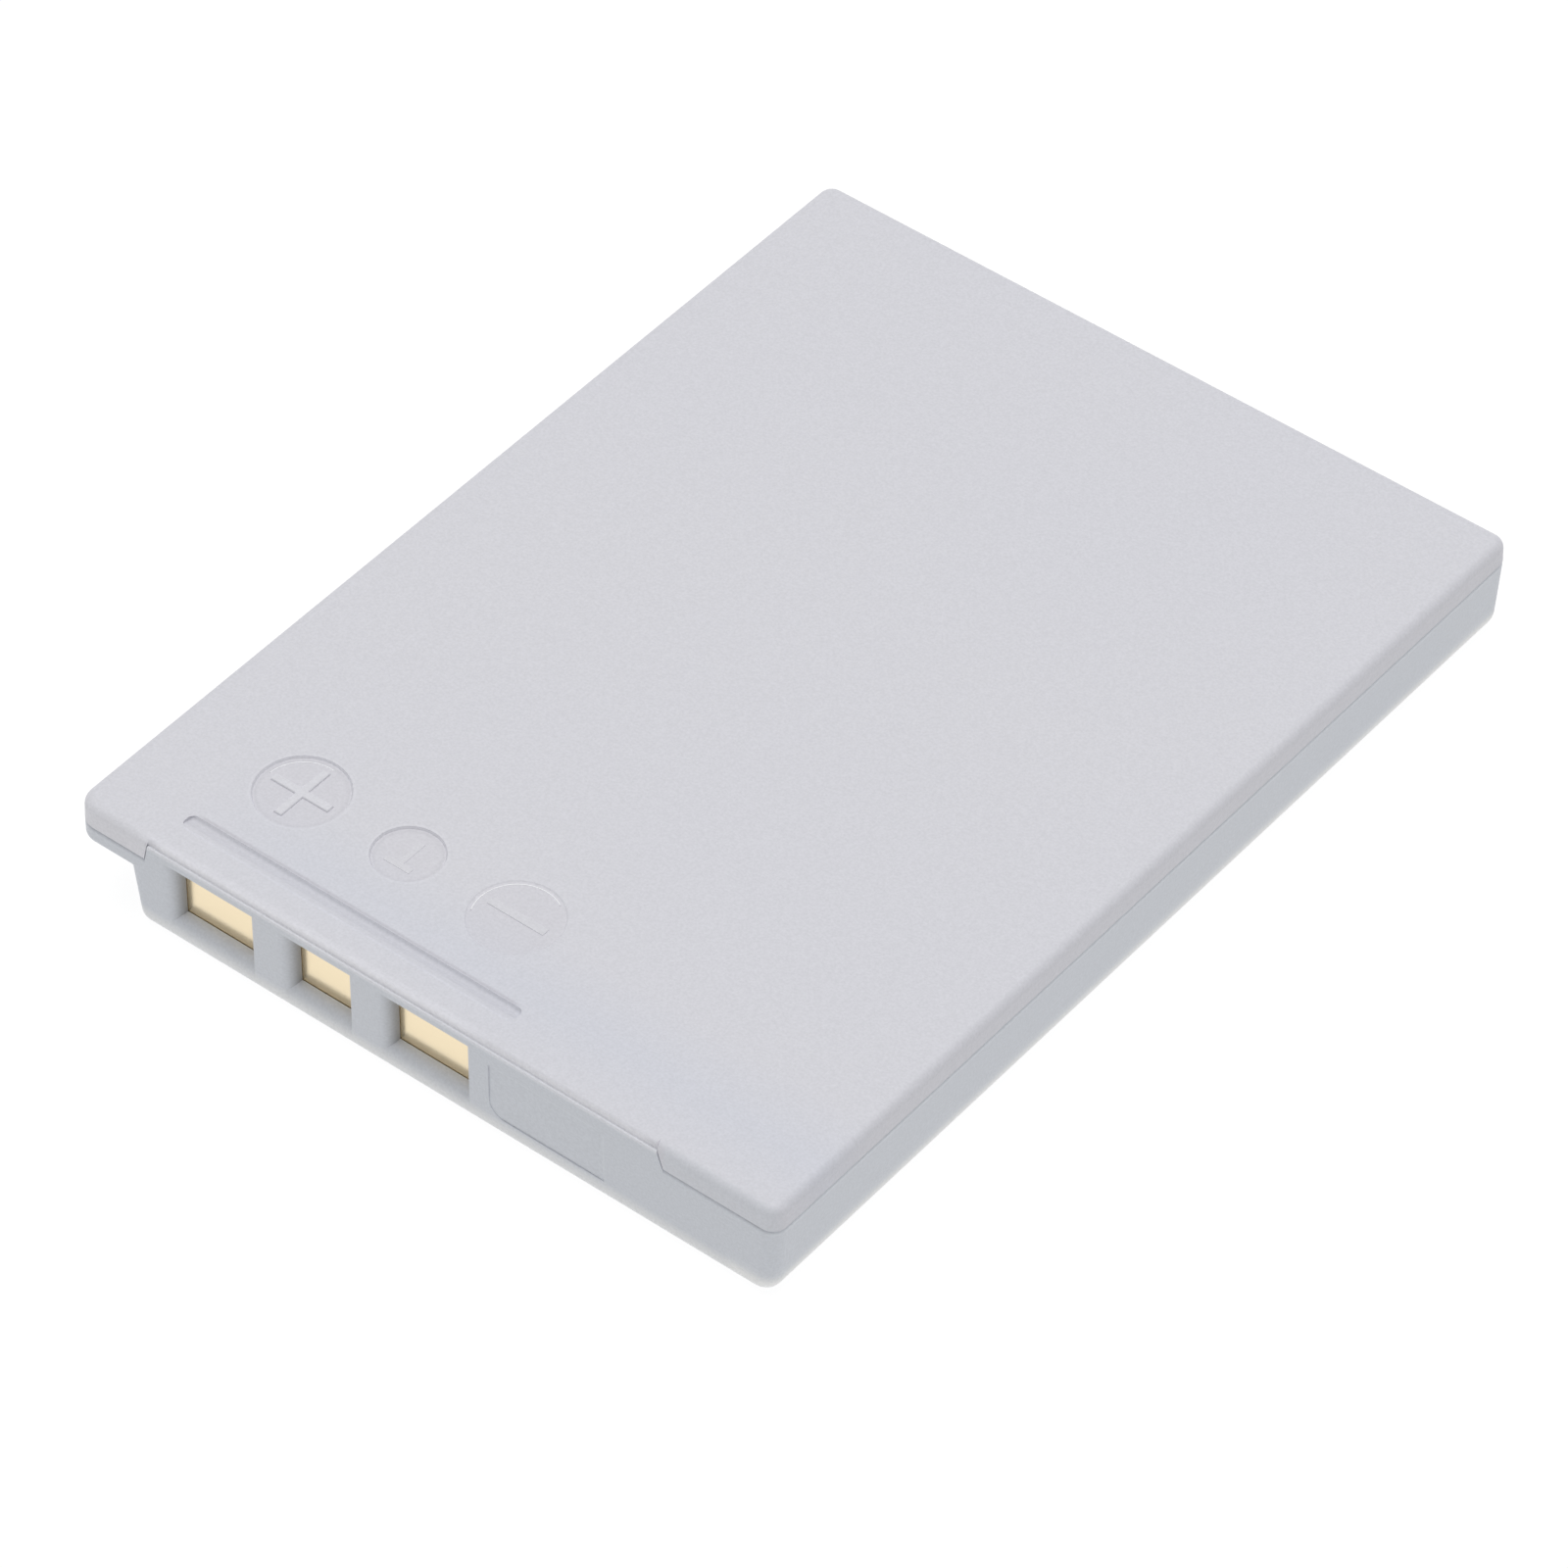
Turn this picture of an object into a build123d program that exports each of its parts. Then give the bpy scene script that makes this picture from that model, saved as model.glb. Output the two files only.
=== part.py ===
# Slim lithium-ion camera battery: two welded mouldings, three contact plates, a protection
# board and one sealed prismatic cell. Millimetres. X runs across the contact end, Y from the
# contact end to the back, Z up from the flat underside, with the origin below the middle.
from build123d import *
from math import radians, tan
import os

# Outside of the closed case
case_width = 35.0
case_length = 47.3
case_height = 4.85
cover_depth = 1.09
cover_draft = 2.0
corner_radius = 0.65
top_edge_radius = 0.44
left_draft = 8.0
right_draft = 3.7
left_edge_radius = 0.7
right_edge_radius = 0.9

# Walls of the two mouldings and the lap joint between them
top_wall = 0.5
floor_wall = 0.45
foot_wall = 0.45
end_wall = 0.65
back_wall = 0.7
skirt_wall = 0.4
inner_corner_radius = 0.25
tongue_height = 0.42
tongue_thickness = 0.2
lap_clearance = 0.05
seam_gap = 0.035
rim_radius = 0.2

# Guide rail that overhangs the left long side
rail_overhang = 2.49
rail_flange = 0.845
rail_edge_radius = 0.25
rail_lead_radius = 0.95

# Contact end: raised wall under a thin lip of the cover, three windows and a blank panel
raised_left = 3.65
raised_right = 5.44
left_slant = 11.0
right_slant = 20.0
raised_edge_radius = 0.06
lip_thickness = 0.33
lip_setback = 0.12
lip_edge_radius = 0.15
window_pitch = 5.44
first_window = 4.66
wide_window = 3.97
narrow_window = 3.04
window_sill = 1.33
window_bridge = 0.46
window_edge_radius = 0.08
panel_from_window = 3.86
panel_width = 5.65
panel_sill = 1.1
panel_top_margin = 0.79
panel_depth = 0.035
panel_corner_radius = 0.7
panel_edge_radius = 0.025

# Marks sunk into the top face, in a row behind the windows
mark_setback = 5.83
mark_shift = -0.45
wide_mark = 4.0
narrow_mark = 3.05
plus_mark_depth = 0.1
narrow_mark_depth = 0.11
minus_mark_depth = 0.035
mark_run = 0.06
groove_length = 16.8
groove_width = 0.74
groove_depth = 0.2
groove_back_run = 0.16
groove_floor_radius = 0.22
groove_end_radius = 0.3
groove_setback = 1.51
groove_from_rail = 4.2

# Contact plates and the upright board behind them
contact_gap = 0.03
contact_thickness = 0.2
contact_side_lap = 0.25
contact_lap = 0.12
contact_corner_radius = 0.3
board_thickness = 0.6
board_lap = 0.1
board_end_gap = 0.3
board_fit = 0.05
rib_width = 1.2
rib_clearance = 0.2

# Parts soldered to the back of the board, from left to right
component_gap = 1.0
lead_thickness = 0.15
lead_width = 0.35
chip_standoff = 0.1
chip_length = 2.9
chip_width = 1.6
chip_height = 0.9
chip_margin = 0.15
chip_pitch = 0.95
mosfet_margin = 0.05
mosfet_width = 4.4
mosfet_height = 0.9
mosfet_span = 6.4
mosfet_pitch = 0.65
thermistor_length = 1.6
thermistor_width = 0.8
thermistor_height = 0.7
resistor_length = 1.0
resistor_width = 0.5
resistor_height = 0.35
resistor_count = 3
capacitor_length = 1.6
capacitor_width = 0.8
capacitor_height = 0.8
capacitor_count = 2
passive_gap = 0.4
passive_edge_radius = 0.08

# Sealed cell, what is fixed to its lid, and the tape that holds it
cell_side_gap = 0.15
cell_end_gap = 0.2
cell_headroom = 0.05
can_edge_radius = 1.2
can_base_radius = 0.5
lid_chamfer = 0.15
pad_thickness = 0.1
pad_margin = 2.5
pad_corner_radius = 1.0
wiring_gap = 0.4
paper_thickness = 0.15
paper_margin = 0.3
paper_clearance = 0.2
gasket_length = 3.2
gasket_width = 1.85
gasket_flange = 0.25
gasket_depth = 0.6
sleeve_wall = 0.25
rivet_head = 1.55
rivet_head_height = 0.3
rivet_shank = 0.85
plug_offset = 7.0
plug_diameter = 1.6
plug_height = 0.2
tab_thickness = 0.12
tab_width = 1.6
tab_bend_radius = 0.15
tab_foot = 0.8
tab_overlap = 1.1
fuse_offset = 5.5
fuse_length = 4.6
fuse_width = 2.4
fuse_corner_radius = 0.3
lid_foot = 1.5
positive_leg_inset = 2.7
fuse_leg_inset = 1.0

# Main planes of the case
half_width = case_width / 2
front_y = -case_length / 2
back_y = case_length / 2
skirt_z = case_height - cover_depth
seam_z = skirt_z - seam_gap
tray_left = -half_width + rail_overhang
foot_left = tray_left + seam_z * tan(radians(left_draft))
foot_right = half_width - seam_z * tan(radians(right_draft))
cavity_left = foot_left + foot_wall
cavity_right = foot_right - foot_wall
cavity_front = front_y + end_wall
cavity_back = back_y - back_wall
cavity_x = (cavity_left + cavity_right) / 2
cavity_y = (cavity_front + cavity_back) / 2
cover_under_z = case_height - top_wall
front_plane = Plane.XZ.offset(-front_y)
back_plane = Plane.XZ.offset(-back_y)

# Raised end wall and window places
raised_top = case_height - lip_thickness
raised_x0 = -half_width + raised_left
raised_x1 = half_width - raised_right
window_top = raised_top - window_bridge
window_x0 = tray_left + first_window
windows = {
    "contact_plus": (window_x0, wide_window),
    "contact_thermistor": (window_x0 + window_pitch, narrow_window),
    "contact_minus": (window_x0 + 2 * window_pitch, wide_window),
}
windows_right = window_x0 + 2 * window_pitch + wide_window / 2
panel_x = windows_right + panel_from_window
panel_top = raised_top - panel_top_margin

# Stack behind the end wall, from the contact plates back to the lid of the cell
contact_front = cavity_front + contact_gap
board_front = contact_front + contact_thickness
board_back = board_front + board_thickness
rivet_stand = gasket_flange + rivet_head_height
rivet_top = board_back + mosfet_height + wiring_gap + tab_thickness
cell_front = rivet_top + rivet_stand
paper_front = cell_front - paper_thickness
contact_bottom = window_sill - contact_lap
contact_top = window_top + contact_lap
board_bottom = contact_bottom - board_lap
board_top = contact_top + board_lap
board_left = cavity_left + board_end_gap
board_right = cavity_right - board_end_gap
board_x = (board_left + board_right) / 2
board_z = (board_bottom + board_top) / 2
board_height = board_top - board_bottom
board_back_plane = Plane.XZ.offset(-board_back)

# Cell box
cell_left = cavity_left + cell_side_gap
cell_right = cavity_right - cell_side_gap
cell_back = cavity_back - cell_end_gap
cell_bottom = floor_wall + pad_thickness
cell_top = cover_under_z - cell_headroom - pad_thickness
cell_width = cell_right - cell_left
cell_length = cell_back - cell_front
cell_thickness = cell_top - cell_bottom
cell_x = (cell_left + cell_right) / 2
cell_y = (cell_front + cell_back) / 2
cell_z = (cell_bottom + cell_top) / 2
lid_plane = Plane.XZ.offset(-cell_front)
gasket_sleeve = rivet_shank + 2 * sleeve_wall
plug_x = cell_x + plug_offset
fuse_x = cell_x - fuse_offset
positive_leg_x = board_right - positive_leg_inset
fuse_leg_x = board_left + fuse_leg_inset
tab_bottom = cell_z - tab_width / 2

os.makedirs("parts", exist_ok=True)


def finish(part, name):
    part.label = name
    export_step(part, f"parts/{name}.step")


def raised_outline(low, high, margin):
    """Outline of the raised end wall between two heights, its slanted ends grown by a clearance."""
    left_run = tan(radians(left_slant))
    right_run = tan(radians(right_slant))
    left = raised_x0 - margin
    right = raised_x1 + margin
    return [
        (left + (low - seam_z) * left_run, low),
        (right - (low - seam_z) * right_run, low),
        (right - (high - seam_z) * right_run, high),
        (left + (high - seam_z) * left_run, high),
    ]


def flared_window(centre_x, width):
    """Opening through the end wall: quarter round sill and left jamb, nearly sharp other edges."""
    left = centre_x - width / 2
    right = centre_x + width / 2
    edge = window_edge_radius
    nose_z = window_sill - end_wall
    with BuildPart() as opening:
        with BuildSketch(Plane.YZ.offset(left - end_wall)):
            with BuildLine():
                nose = CenterArc((cavity_front, nose_z), end_wall, 180, -90)
                lintel = CenterArc((front_y + edge, window_top + edge), edge, 270, -90)
                Polyline(nose @ 1, (contact_front, window_sill), (contact_front, window_top), lintel @ 0)
                Line(lintel @ 1, nose @ 0)
            make_face()
        extrude(amount=end_wall + width + edge)
        with BuildSketch(Plane.XY.offset(nose_z)):
            with BuildLine():
                left_jamb = CenterArc((left - end_wall, cavity_front), end_wall, -90, 90)
                right_jamb = CenterArc((right + edge, front_y + edge), edge, 180, 90)
                Polyline(left_jamb @ 1, (left, contact_front), (right, contact_front), right_jamb @ 0)
                Line(right_jamb @ 1, left_jamb @ 0)
            make_face()
        extrude(amount=window_top + edge - nose_z, mode=Mode.INTERSECT)
    return opening.part


# Outline of the closed case from above, rounder at the corner where the rail enters the bay.
with BuildSketch() as case_outline:
    Rectangle(case_width, case_length)
    corners = case_outline.vertices().sort_by_distance((-half_width, front_y, 0))
    fillet(corners[1:], radius=corner_radius)
    lead_corner = case_outline.vertices().sort_by_distance((-half_width, front_y, 0))[0]
    fillet(lead_corner, radius=rail_lead_radius)

# Guide rail: a flat flange along the left side, level with the seam, with softened lower edges.
with BuildPart() as rail:
    with BuildSketch(Plane.XY.offset(seam_z - rail_flange)):
        add(case_outline.sketch)
        with Locations((-half_width, 0)):
            Rectangle(
                rail_overhang + 2 * corner_radius,
                case_length,
                align=(Align.MIN, Align.CENTER),
                mode=Mode.INTERSECT,
            )
    extrude(amount=rail_flange)
    fillet(rail.faces().sort_by(Axis.Z)[0].edges().sort_by(Axis.X)[:-1], radius=rail_edge_radius)

# Openings in the end wall, one in front of each contact plate.
openings = [flared_window(*window) for window in windows.values()]

# Lower moulding: a drafted tray with the rail, a welding tongue round its rim, the raised end
# wall with its windows, and two ribs that seat the board and stop the cell.
with BuildPart() as bottom_case:
    with BuildSketch(back_plane):
        with BuildLine():
            FilletPolyline(
                (tray_left, seam_z),
                (half_width, seam_z),
                (foot_right, 0),
                (foot_left, 0),
                radius=(0, 0, right_edge_radius, left_edge_radius),
                close=True,
            )
        make_face()
    extrude(amount=case_length)
    end_outlines = bottom_case.faces().filter_by(Axis.Y).edges().sort_by(Axis.Z)[:-2]
    fillet(end_outlines, radius=corner_radius)
    add(rail.part)
    fillet(bottom_case.faces().sort_by(Axis.Z)[-1].edges(), radius=rim_radius)

    with BuildSketch(Plane.XY.offset(floor_wall)):
        with Locations((cavity_x, cavity_y)):
            RectangleRounded(cavity_right - cavity_left, cavity_back - cavity_front, inner_corner_radius)
    extrude(amount=case_height, mode=Mode.SUBTRACT)

    lap = skirt_wall + lap_clearance
    tongue_inset = lap + tongue_thickness
    with BuildSketch(Plane.XY.offset(seam_z)):
        RectangleRounded(case_width - 2 * lap, case_length - 2 * lap, inner_corner_radius)
        Rectangle(case_width - 2 * tongue_inset, case_length - 2 * tongue_inset, mode=Mode.SUBTRACT)
    extrude(amount=tongue_height)

    with BuildSketch(front_plane):
        with BuildLine():
            Polyline(*raised_outline(seam_z - rim_radius, raised_top, 0), close=True)
        make_face()
    extrude(amount=-end_wall)
    raised_edges = bottom_case.edges().filter_by(Axis.X)
    raised_edges = raised_edges.filter_by_position(Axis.Z, raised_top, raised_top)
    fillet(raised_edges.sort_by(Axis.Y)[0], radius=raised_edge_radius)
    for opening in openings:
        add(opening, mode=Mode.SUBTRACT)

    with BuildSketch(front_plane) as panel:
        with Locations((panel_x, panel_sill)):
            Rectangle(panel_width, panel_top - panel_sill, align=(Align.CENTER, Align.MIN))
        fillet(panel.vertices().group_by(Axis.Y)[0].sort_by(Axis.X)[0], radius=panel_corner_radius)
    extrude(amount=-panel_depth, mode=Mode.SUBTRACT)
    panel_rim = bottom_case.edges().filter_by_position(Axis.Y, front_y, front_y)
    panel_rim = panel_rim.filter_by_position(Axis.Z, panel_sill, panel_top)
    panel_rim = panel_rim.filter_by_position(Axis.X, panel_x - panel_width / 2, panel_x + panel_width / 2)
    fillet(panel_rim, radius=panel_edge_radius)

    rib_top = tab_bottom - rib_clearance
    board_stop = board_back + board_fit
    cell_stop = cell_front - board_fit
    for wall_x, inward in ((cavity_left, rib_width), (cavity_right, -rib_width)):
        with BuildSketch(Plane.YZ.offset(wall_x)):
            with BuildLine():
                Polyline(
                    (cavity_front, floor_wall),
                    (cavity_front, board_bottom),
                    (board_stop, board_bottom),
                    (board_stop, rib_top),
                    (cell_stop, rib_top),
                    (cell_stop, floor_wall),
                    close=True,
                )
            make_face()
        extrude(amount=inward)
finish(bottom_case.part, "bottom_case")

# Lip of the cover over the raised end wall, set back from the wall's face and rounded over its front.
with BuildPart() as lip:
    with BuildSketch(front_plane.offset(-lip_setback)):
        with BuildLine():
            Polyline(*raised_outline(raised_top, case_height, lap_clearance), close=True)
        make_face()
    extrude(amount=-end_wall)
    fillet(lip.edges().group_by(Axis.Z)[-1].sort_by(Axis.Y)[0], radius=lip_edge_radius)

# Groove in front of the marks: a floor that falls gently to a sloped back wall, with rounded ends.
groove_left = -half_width + groove_from_rail
groove_front = front_y + groove_setback
groove_back = groove_front + groove_width
groove_bottom = case_height - groove_depth
with BuildPart() as groove:
    with BuildSketch(Plane.YZ.offset(groove_left)):
        with BuildLine():
            FilletPolyline(
                (groove_front, case_height),
                (groove_back, case_height),
                (groove_back - groove_back_run, groove_bottom),
                radius=(0, 0, groove_floor_radius),
                close=True,
            )
        make_face()
    extrude(amount=groove_length)
    with BuildSketch(Plane.XY.offset(groove_bottom)):
        with Locations((groove_left + groove_length / 2, groove_front + groove_width / 2)):
            RectangleRounded(groove_length, groove_width, groove_end_radius)
    extrude(amount=groove_depth, mode=Mode.INTERSECT)

# Upper moulding: a shallow lid with a skirt that laps over the tongue. Its front skirt is cut
# away over the raised end wall, so that only the lip is left there.
with BuildPart() as top_cover:
    skirt_plane = Plane.XY.offset(skirt_z)
    with BuildSketch(skirt_plane):
        add(case_outline.sketch)
    extrude(amount=cover_depth, taper=cover_draft)
    fillet(top_cover.faces().sort_by(Axis.Z)[-1].edges(), radius=top_edge_radius)
    with BuildSketch(skirt_plane):
        RectangleRounded(case_width - 2 * skirt_wall, case_length - 2 * skirt_wall, inner_corner_radius)
    extrude(amount=cover_under_z - skirt_z, mode=Mode.SUBTRACT)

    with BuildSketch(front_plane):
        with BuildLine():
            Polyline(*raised_outline(seam_z, case_height, lap_clearance), close=True)
        make_face()
    extrude(amount=-(end_wall + lap_clearance), mode=Mode.SUBTRACT)
    add(lip.part)

    marks = (
        (window_x0, wide_mark, plus_mark_depth),
        (window_x0 + window_pitch, narrow_mark, narrow_mark_depth),
        (window_x0 + 2 * window_pitch, wide_mark, minus_mark_depth),
    )
    for mark_x, mark_diameter, mark_depth in marks:
        with Locations((mark_x + mark_shift, front_y + mark_setback, case_height)):
            Cone(
                mark_diameter / 2 - mark_run,
                mark_diameter / 2,
                mark_depth,
                align=(Align.CENTER, Align.CENTER, Align.MAX),
                mode=Mode.SUBTRACT,
            )
    add(groove.part, mode=Mode.SUBTRACT)
finish(top_cover.part, "top_cover")

# Contact plates: flat gold plated pieces soldered to the front of the board, one per window.
for contact_name, (contact_x, opening) in windows.items():
    with BuildPart() as contact:
        with BuildSketch(Plane.XZ.offset(-contact_front)):
            with Locations((contact_x, (contact_bottom + contact_top) / 2)):
                RectangleRounded(
                    opening + 2 * contact_side_lap,
                    contact_top - contact_bottom,
                    contact_corner_radius,
                )
        extrude(amount=-contact_thickness)
    finish(contact.part, contact_name)

# Protection board, standing on its long edge between the ribs.
with BuildPart() as circuit_board:
    with BuildSketch(Plane.XZ.offset(-board_front)):
        with Locations((board_x, board_z)):
            Rectangle(board_right - board_left, board_height)
    extrude(amount=-board_thickness)
finish(circuit_board.part, "circuit_board")

# Places of the soldered parts, one after the other from the fuse lead's pad
chip_span = board_height - 2 * chip_margin
mosfet_length = board_height - 2 * mosfet_margin
thermistor_x = fuse_leg_x + component_gap + thermistor_length / 2
resistors_x0 = thermistor_x + thermistor_length / 2 + component_gap + resistor_width / 2
resistor_step = resistor_width + passive_gap
resistors_right = resistors_x0 + (resistor_count - 1) * resistor_step + resistor_width / 2
chip_x = resistors_right + component_gap + chip_length / 2
mosfet_x = chip_x + chip_length / 2 + component_gap + mosfet_span / 2
capacitors_x0 = mosfet_x + mosfet_span / 2 + component_gap + capacitor_width / 2
capacitor_step = capacitor_width + passive_gap


def leaded_chip(seat, length, width, height, span, pitch, leads_per_side):
    """Moulded chip with gull-wing leads; the seat's x runs along a row of leads."""
    shoulder = (chip_standoff + height) / 2
    knee = (width / 2 + span / 2) / 2
    sole = lead_thickness / 2
    across = Plane(seat.origin, x_dir=seat.y_dir, z_dir=seat.x_dir)
    with BuildPart() as chip:
        with BuildSketch(seat.offset(chip_standoff)):
            Rectangle(length, width)
        extrude(amount=height - chip_standoff)
        for index in range(leads_per_side):
            place = (index - (leads_per_side - 1) / 2) * pitch
            for side in (1, -1):
                with BuildSketch(across.offset(place)):
                    with BuildLine():
                        Polyline(
                            (side * width / 4, shoulder),
                            (side * knee, shoulder),
                            (side * knee, sole),
                            (side * span / 2, sole),
                        )
                    trace(line_width=lead_thickness)
                extrude(amount=lead_width / 2, both=True)
    return chip.part


# Protection chip, with three leads above and three below its body.
chip_seat = Plane((chip_x, board_back, board_z), x_dir=(1, 0, 0), z_dir=(0, 1, 0))
protection_chip = leaded_chip(
    chip_seat, chip_length, chip_width, chip_height, chip_span, chip_pitch, leads_per_side=3
)
finish(protection_chip, "protection_chip")

# Switching transistor pair, with four leads to the left and four to the right.
mosfet_seat = Plane((mosfet_x, board_back, board_z), x_dir=(0, 0, 1), z_dir=(0, 1, 0))
mosfet_pair = leaded_chip(
    mosfet_seat, mosfet_length, mosfet_width, mosfet_height, mosfet_span, mosfet_pitch, leads_per_side=4
)
finish(mosfet_pair, "mosfet_pair")

# Chip thermistor, lying along the board.
with BuildPart() as thermistor:
    with BuildSketch(board_back_plane):
        with Locations((thermistor_x, board_z)):
            RectangleRounded(thermistor_length, thermistor_width, passive_edge_radius)
    extrude(amount=-thermistor_height)
finish(thermistor.part, "thermistor")

# Row of small resistors, standing across the board.
with BuildPart() as chip_resistors:
    with BuildSketch(board_back_plane):
        for index in range(resistor_count):
            with Locations((resistors_x0 + index * resistor_step, board_z)):
                RectangleRounded(resistor_width, resistor_length, passive_edge_radius)
    extrude(amount=-resistor_height)
finish(chip_resistors.part, "chip_resistors")

# Row of small capacitors, standing across the board.
with BuildPart() as chip_capacitors:
    with BuildSketch(board_back_plane):
        for index in range(capacitor_count):
            with Locations((capacitors_x0 + index * capacitor_step, board_z)):
                RectangleRounded(capacitor_width, capacitor_length, passive_edge_radius)
    extrude(amount=-capacitor_height)
finish(chip_capacitors.part, "chip_capacitors")

# Sealed cell: a drawn aluminium can with rounded long edges and a welded lid, whose middle has
# a blind bore for the insulated terminal.
with BuildPart() as cell:
    with BuildSketch(lid_plane):
        with Locations((cell_x, cell_z)):
            RectangleRounded(cell_width, cell_thickness, can_edge_radius)
    extrude(amount=-cell_length)
    fillet(cell.faces().sort_by(Axis.Y)[-1].edges(), radius=can_base_radius)
    chamfer(cell.faces().sort_by(Axis.Y)[0].edges(), length=lid_chamfer)
    with BuildSketch(lid_plane):
        with Locations((cell_x, cell_z)):
            Circle(gasket_sleeve / 2)
    extrude(amount=-gasket_depth, mode=Mode.SUBTRACT)
finish(cell.part, "cell")

# Gasket: an oblong flange on the lid with a sleeve that lines the bore.
with BuildPart() as terminal_gasket:
    with BuildSketch(lid_plane):
        with Locations((cell_x, cell_z)):
            SlotOverall(gasket_length, gasket_width)
    extrude(amount=gasket_flange)
    with BuildSketch(lid_plane):
        with Locations((cell_x, cell_z)):
            Circle(gasket_sleeve / 2)
    extrude(amount=-gasket_depth)
    with BuildSketch(lid_plane.offset(gasket_flange)):
        with Locations((cell_x, cell_z)):
            Circle(rivet_shank / 2)
    extrude(amount=-(gasket_flange + gasket_depth), mode=Mode.SUBTRACT)
finish(terminal_gasket.part, "terminal_gasket")

# Rivet: a flat head on the gasket and a shank through its sleeve.
with BuildPart() as terminal_rivet:
    with BuildSketch(lid_plane.offset(gasket_flange)):
        with Locations((cell_x, cell_z)):
            Circle(rivet_head / 2)
    extrude(amount=rivet_head_height)
    with BuildSketch(lid_plane.offset(gasket_flange)):
        with Locations((cell_x, cell_z)):
            Circle(rivet_shank / 2)
    extrude(amount=-(gasket_flange + gasket_depth))
finish(terminal_rivet.part, "terminal_rivet")

# Plug welded over the filling hole of the lid.
with BuildPart() as fill_plug:
    with BuildSketch(lid_plane):
        with Locations((plug_x, cell_z)):
            Circle(plug_diameter / 2)
    extrude(amount=plug_height)
    chamfer(fill_plug.faces().sort_by(Axis.Y)[0].edges(), length=plug_height / 2)
finish(fill_plug.part, "fill_plug")

# Paper strip that insulates the lid, cut out round the gasket and the plug.
paper_left = cell_left + can_edge_radius
paper_right = positive_leg_x - paper_margin
paper_height = cell_thickness - 2 * paper_margin
with BuildPart() as end_insulator:
    with BuildSketch(lid_plane):
        with Locations((paper_left, cell_z)):
            Rectangle(paper_right - paper_left, paper_height, align=(Align.MIN, Align.CENTER))
        with Locations((cell_x, cell_z)):
            SlotOverall(
                gasket_length + 2 * paper_clearance,
                gasket_width + 2 * paper_clearance,
                mode=Mode.SUBTRACT,
            )
        with Locations((plug_x, cell_z)):
            Circle(plug_diameter / 2 + paper_clearance, mode=Mode.SUBTRACT)
    extrude(amount=paper_thickness)
finish(end_insulator.part, "end_insulator")

# Flat resettable fuse on the paper, as high as the rivet so that one strip lies on both.
with BuildPart() as thermal_fuse:
    with BuildSketch(Plane.XZ.offset(-paper_front)):
        with Locations((fuse_x, cell_z)):
            RectangleRounded(fuse_length, fuse_width, fuse_corner_radius)
    extrude(amount=rivet_stand - paper_thickness)
finish(thermal_fuse.part, "thermal_fuse")

# Nickel strip from the rivet to the near end of the fuse.
negative_left = fuse_x + fuse_length / 2 - tab_overlap
negative_right = cell_x + rivet_head / 2
with BuildPart() as negative_tab:
    with BuildSketch(Plane.XZ.offset(-rivet_top)):
        with Locations((negative_left, cell_z)):
            Rectangle(negative_right - negative_left, tab_width, align=(Align.MIN, Align.CENTER))
    extrude(amount=tab_thickness)
finish(negative_tab.part, "negative_tab")

# Nickel strip from the far end of the fuse along the lid and forward to the board.
board_foot_y = board_back + tab_thickness / 2
fuse_lead_y = rivet_top - tab_thickness / 2
with BuildPart() as fuse_lead:
    with BuildSketch(Plane.XY.offset(tab_bottom)):
        with BuildLine():
            FilletPolyline(
                (fuse_x - fuse_length / 2 + tab_overlap, fuse_lead_y),
                (fuse_leg_x, fuse_lead_y),
                (fuse_leg_x, board_foot_y),
                (fuse_leg_x - tab_foot, board_foot_y),
                radius=tab_bend_radius,
            )
        trace(line_width=tab_thickness)
    extrude(amount=tab_width)
finish(fuse_lead.part, "fuse_lead")

# Nickel strip from the can's lid forward to the board.
with BuildPart() as positive_tab:
    with BuildSketch(Plane.XY.offset(tab_bottom)):
        with BuildLine():
            FilletPolyline(
                (positive_leg_x + lid_foot, cell_front - tab_thickness / 2),
                (positive_leg_x, cell_front - tab_thickness / 2),
                (positive_leg_x, board_foot_y),
                (positive_leg_x - tab_foot, board_foot_y),
                radius=tab_bend_radius,
            )
        trace(line_width=tab_thickness)
    extrude(amount=tab_width)
finish(positive_tab.part, "positive_tab")

# Double sided tape below and above the cell.
pad_inset = can_edge_radius + pad_margin
pad_places = {"adhesive_pad_lower": floor_wall, "adhesive_pad_upper": cell_top}
for pad_name, pad_bottom in pad_places.items():
    with BuildPart() as adhesive_pad:
        with BuildSketch(Plane.XY.offset(pad_bottom)):
            with Locations((cell_x, cell_y)):
                RectangleRounded(cell_width - 2 * pad_inset, cell_length - 2 * pad_inset, pad_corner_radius)
        extrude(amount=pad_thickness)
    finish(adhesive_pad.part, pad_name)
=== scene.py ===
import math

import bmesh
import bpy
from mathutils import Matrix, Vector


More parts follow.
